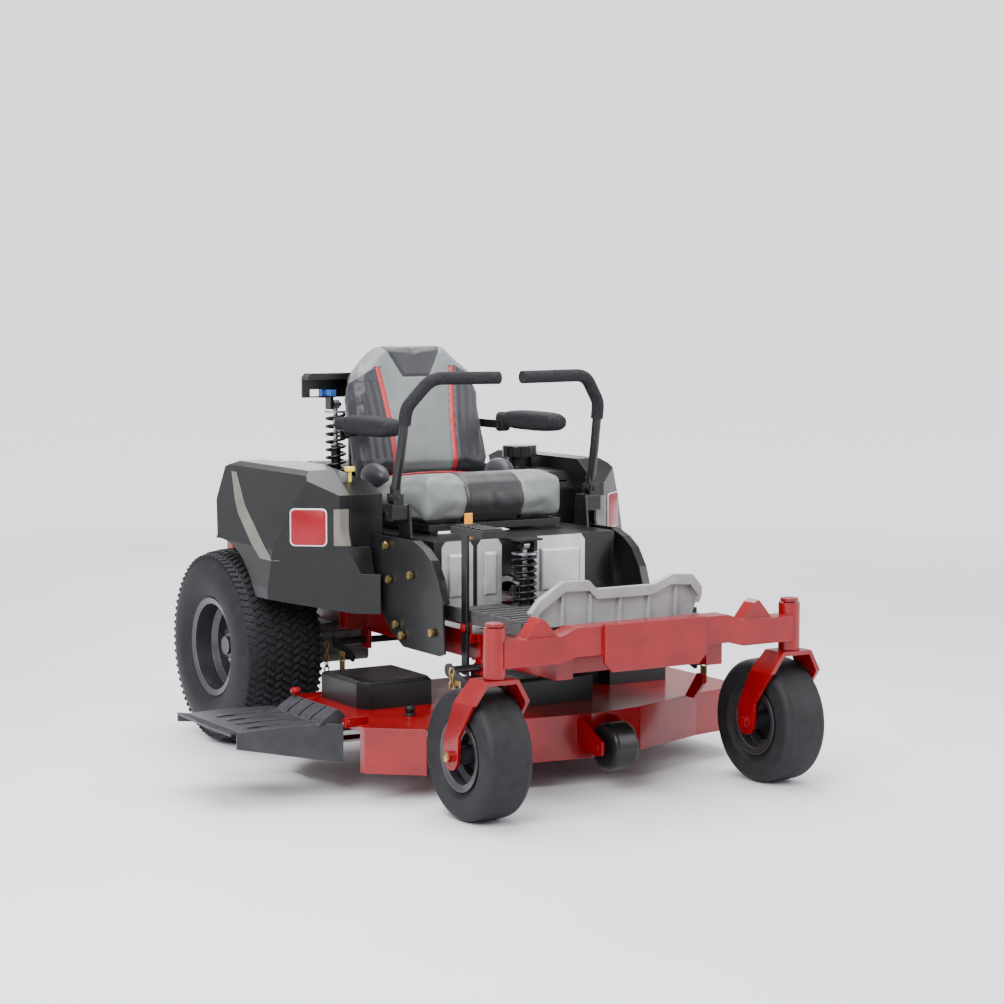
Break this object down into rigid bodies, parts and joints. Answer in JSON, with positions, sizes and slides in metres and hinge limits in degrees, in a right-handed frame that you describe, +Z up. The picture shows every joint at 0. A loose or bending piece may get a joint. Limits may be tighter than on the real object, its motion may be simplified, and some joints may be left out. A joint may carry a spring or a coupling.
{
  "type": "zero turn mower",
  "caption": "Ride-on zero turn mower with a side-discharge deck, sprung operator platform, lap bars and front casters.",
  "frame": {"origin": "centre of the bounding box at the ground", "axes": "+Z up, front towards -Y, the machine's right side towards -X"},
  "size_m": [1.567, 1.925, 1.1502],
  "materials": {
    "red_powder_coat": "gloss",
    "black_powder_coat": "semi-gloss",
    "black_plastic": "grained",
    "tyre_rubber": "matte",
    "rim_paint": "satin",
    "foam": "matte",
    "seat_vinyl": "matte",
    "zinc": "plated",
    "steel": "brushed",
    "silver_sheet": "brushed",
    "cast_metal": "cast",
    "orange_plastic": "gloss",
    "yellow_plastic": "gloss",
    "blue_plastic": "gloss"
  },
  "bodies": {
    "chassis": {"main_frame": "red_powder_coat", "front_beam": "red_powder_coat", "side_plates": "black_powder_coat", "frame_bolts": "zinc", "right_pod": "black_plastic", "left_pod": "black_plastic", "right_console": "black_plastic", "fuel_tank": "black_plastic", "engine_guard": "red_powder_coat", "engine_block": "cast_metal", "engine_shroud": "black_plastic", "muffler": "steel", "hydro_drives": "cast_metal"},
    "platform": {"floor_pan": "black_powder_coat", "toe_board": "silver_sheet", "footwell_panels": "silver_sheet", "seat_base": "black_powder_coat"},
    "seat": {"seat_pan": "black_powder_coat", "seat_cushion": "seat_vinyl", "seat_back": "seat_vinyl"},
    "deck": {"deck_shell": "red_powder_coat", "deck_covers": "black_plastic", "deck_hangers": "zinc"},
    "front_damper": {"front_damper": "steel", "front_spring": "black_powder_coat"},
    "front_damper_rod": {"front_damper_rod": "steel"},
    "rear_damper": {"rear_damper": "steel", "rear_spring": "black_powder_coat"},
    "rear_damper_rod": {"rear_damper_rod": "steel"},
    "fuel_cap": {"fuel_cap": "black_plastic"},
    "blade_switch": {"blade_switch": "yellow_plastic"},
    "crank_pulley": {"crank_pulley": "steel"},
    "shock_adjuster": {"shock_adjuster": "blue_plastic"},
    "lift_pedal": {"lift_pedal": "black_powder_coat"},
    "armrest_right": {"armrest_right": "foam"},
    "armrest_left": {"armrest_left": "foam"},
    "seat_latch": {"seat_latch": "orange_plastic"},
    "chute": {"chute": "black_plastic"},
    "blade_spindle_right": {"blade_spindle_right": "steel"},
    "blade_spindle_centre": {"blade_spindle_centre": "steel"},
    "blade_spindle_left": {"blade_spindle_left": "steel"},
    "anti_scalp_roller": {"anti_scalp_roller": "black_plastic"},
    "lift_shaft_front": {"lift_shaft_front": "black_powder_coat"},
    "lift_shaft_rear": {"lift_shaft_rear": "black_powder_coat"},
    "caster_fork_right": {"caster_fork_right": "red_powder_coat"},
    "caster_fork_left": {"caster_fork_left": "red_powder_coat"},
    "lever_hub_right": {"lever_hub_right": "black_powder_coat"},
    "lever_hub_left": {"lever_hub_left": "black_powder_coat"},
    "caster_wheel_right": {"caster_tyre_right": "tyre_rubber", "caster_rim_right": "rim_paint"},
    "drive_wheel_right": {"drive_tyre_right": "tyre_rubber", "drive_rim_right": "rim_paint"},
    "lever_right": {"lever_right": "black_powder_coat", "grip_right": "foam"},
    "caster_wheel_left": {"caster_tyre_left": "tyre_rubber", "caster_rim_left": "rim_paint"},
    "drive_wheel_left": {"drive_tyre_left": "tyre_rubber", "drive_rim_left": "rim_paint"},
    "lever_left": {"lever_left": "black_powder_coat", "grip_left": "foam"}
  },
  "joints": [
    {"name": "platform_tilt", "type": "hinge", "parent": "chassis", "child": "platform", "pos_m": [0.1565, -0.7625, 0.428], "axis": [1, 0, 0], "range_deg": [-3, 0], "stiffness_Nm_per_rad": 4000, "springref_deg": 25.78},
    {"name": "front_damper_lean", "type": "hinge", "parent": "chassis", "child": "front_damper", "pos_m": [0.1285, -0.3275, 0.425], "axis": [-1, 0, 0], "range_deg": [0, 3.25]},
    {"name": "front_damper_stroke", "type": "slide", "parent": "front_damper", "child": "front_damper_rod", "axis": [0, 0, 1], "range_m": [-0.0231, 0], "deforming": ["front_spring"]},
    {"name": "rear_damper_lean", "type": "hinge", "parent": "chassis", "child": "rear_damper", "pos_m": [-0.0485, 0.4445, 0.7], "axis": [-1, 0, 0], "range_deg": [0, 7.57]},
    {"name": "rear_damper_stroke", "type": "slide", "parent": "rear_damper", "child": "rear_damper_rod", "axis": [0, 0, 1], "range_m": [-0.0625, 0], "deforming": ["rear_spring"]},
    {"name": "caster_swivel_right", "type": "hinge", "parent": "chassis", "child": "caster_fork_right", "pos_m": [-0.2935, -0.8735, 0.362], "axis": [0, 0, 1], "continuous": true},
    {"name": "caster_roll_right", "type": "hinge", "parent": "caster_fork_right", "child": "caster_wheel_right", "pos_m": [-0.2935, -0.7975, 0.165], "axis": [1, 0, 0], "continuous": true},
    {"name": "drive_roll_right", "type": "hinge", "parent": "chassis", "child": "drive_wheel_right", "pos_m": [-0.3435, 0.4425, 0.2795], "axis": [1, 0, 0], "continuous": true},
    {"name": "lever_push_right", "type": "hinge", "parent": "platform", "child": "lever_hub_right", "pos_m": [-0.1605, -0.1275, 0.7], "axis": [1, 0, 0], "range_deg": [-10, 15], "stiffness_Nm_per_rad": 60},
    {"name": "lever_swing_right", "type": "hinge", "parent": "lever_hub_right", "child": "lever_right", "pos_m": [-0.1605, -0.1275, 0.738], "axis": [0, -1, 0], "range_deg": [0, 28]},
    {"name": "armrest_flip_right", "type": "hinge", "parent": "seat", "child": "armrest_right", "pos_m": [-0.1125, 0.2525, 0.905], "axis": [-1, 0, 0], "range_deg": [0, 80]},
    {"name": "caster_swivel_left", "type": "hinge", "parent": "chassis", "child": "caster_fork_left", "pos_m": [0.6065, -0.8735, 0.362], "axis": [0, 0, 1], "continuous": true},
    {"name": "caster_roll_left", "type": "hinge", "parent": "caster_fork_left", "child": "caster_wheel_left", "pos_m": [0.6065, -0.7975, 0.165], "axis": [1, 0, 0], "continuous": true},
    {"name": "drive_roll_left", "type": "hinge", "parent": "chassis", "child": "drive_wheel_left", "pos_m": [0.6565, 0.4425, 0.2795], "axis": [1, 0, 0], "continuous": true},
    {"name": "lever_push_left", "type": "hinge", "parent": "platform", "child": "lever_hub_left", "pos_m": [0.4735, -0.1275, 0.7], "axis": [1, 0, 0], "range_deg": [-10, 15], "stiffness_Nm_per_rad": 60},
    {"name": "lever_swing_left", "type": "hinge", "parent": "lever_hub_left", "child": "lever_left", "pos_m": [0.4735, -0.1275, 0.738], "axis": [0, 1, 0], "range_deg": [0, 28]},
    {"name": "armrest_flip_left", "type": "hinge", "parent": "seat", "child": "armrest_left", "pos_m": [0.4255, 0.2525, 0.905], "axis": [-1, 0, 0], "range_deg": [0, 80]},
    {"name": "seat_slide", "type": "slide", "parent": "platform", "child": "seat", "axis": [0, -1, 0], "range_m": [0, 0.09]},
    {"name": "seat_latch_lift", "type": "hinge", "parent": "seat", "child": "seat_latch", "pos_m": [0.0465, -0.1175, 0.635], "axis": [-1, 0, 0], "range_deg": [0, 12], "stiffness_Nm_per_rad": 1, "springref_deg": -11.46},
    {"name": "shock_adjust", "type": "slide", "parent": "platform", "child": "shock_adjuster", "axis": [1, 0, 0], "range_m": [-0.045, 0.004]},
    {"name": "fuel_cap_turn", "type": "hinge", "parent": "chassis", "child": "fuel_cap", "pos_m": [0.5025, 0.3075, 0.818], "axis": [0, 0, 1], "continuous": true},
    {"name": "blade_switch_pull", "type": "slide", "parent": "chassis", "child": "blade_switch", "axis": [0, 0, 1], "range_m": [0, 0.012]},
    {"name": "deck_lift", "type": "slide", "parent": "chassis", "child": "deck", "axis": [0, 0, 1], "range_m": [0, 0.059]},
    {"name": "lift_pedal_push", "type": "hinge", "parent": "chassis", "child": "lift_pedal", "pos_m": [-0.1275, -0.4475, 0.42], "axis": [1, 0, 0], "range_deg": [0, 24.2]},
    {"name": "lift_shaft_front_turn", "type": "hinge", "parent": "chassis", "child": "lift_shaft_front", "pos_m": [0.1565, -0.4875, 0.32], "axis": [-1, 0, 0], "range_deg": [0, 34.6]},
    {"name": "lift_shaft_rear_turn", "type": "hinge", "parent": "chassis", "child": "lift_shaft_rear", "pos_m": [0.1565, 0.1525, 0.31], "axis": [-1, 0, 0], "range_deg": [0, 34.6]},
    {"name": "chute_fold", "type": "hinge", "parent": "deck", "child": "chute", "pos_m": [-0.4755, -0.2925, 0.205], "axis": [0, 1, 0], "range_deg": [0, 80]},
    {"name": "blade_spin_centre", "type": "hinge", "parent": "deck", "child": "blade_spindle_centre", "pos_m": [0.1565, -0.3455, 0.098], "axis": [0, 0, 1], "continuous": true},
    {"name": "blade_spin_right", "type": "hinge", "parent": "deck", "child": "blade_spindle_right", "pos_m": [-0.2395, -0.1675, 0.098], "axis": [0, 0, 1], "continuous": true},
    {"name": "blade_spin_left", "type": "hinge", "parent": "deck", "child": "blade_spindle_left", "pos_m": [0.5525, -0.1675, 0.098], "axis": [0, 0, 1], "continuous": true},
    {"name": "crank_spin", "type": "hinge", "parent": "chassis", "child": "crank_pulley", "pos_m": [0.1565, 0.6825, 0.372], "axis": [0, 0, 1], "continuous": true},
    {"name": "roller_roll", "type": "hinge", "parent": "deck", "child": "anti_scalp_roller", "pos_m": [0.1715, -0.7075, 0.121], "axis": [1, 0, 0], "continuous": true}
  ],
  "couplings": [
    {"joint": "front_damper_lean", "follows": "platform_tilt", "ratio": -1.0511},
    {"joint": "front_damper_stroke", "follows": "platform_tilt", "m_per_rad": 0.43487},
    {"joint": "rear_damper_lean", "follows": "platform_tilt", "ratio": -2.4904},
    {"joint": "rear_damper_stroke", "follows": "platform_tilt", "m_per_rad": 1.1875},
    {"joint": "lift_pedal_push", "follows": "deck_lift", "rad_per_m": 7.0996},
    {"joint": "lift_shaft_front_turn", "follows": "deck_lift", "rad_per_m": 10.152},
    {"joint": "lift_shaft_rear_turn", "follows": "deck_lift", "rad_per_m": 10.152},
    {"joint": "blade_spin_right", "follows": "blade_spin_centre", "ratio": 1},
    {"joint": "blade_spin_left", "follows": "blade_spin_centre", "ratio": 1},
    {"joint": "crank_spin", "follows": "blade_spin_centre", "ratio": 1.0333}
  ]
}
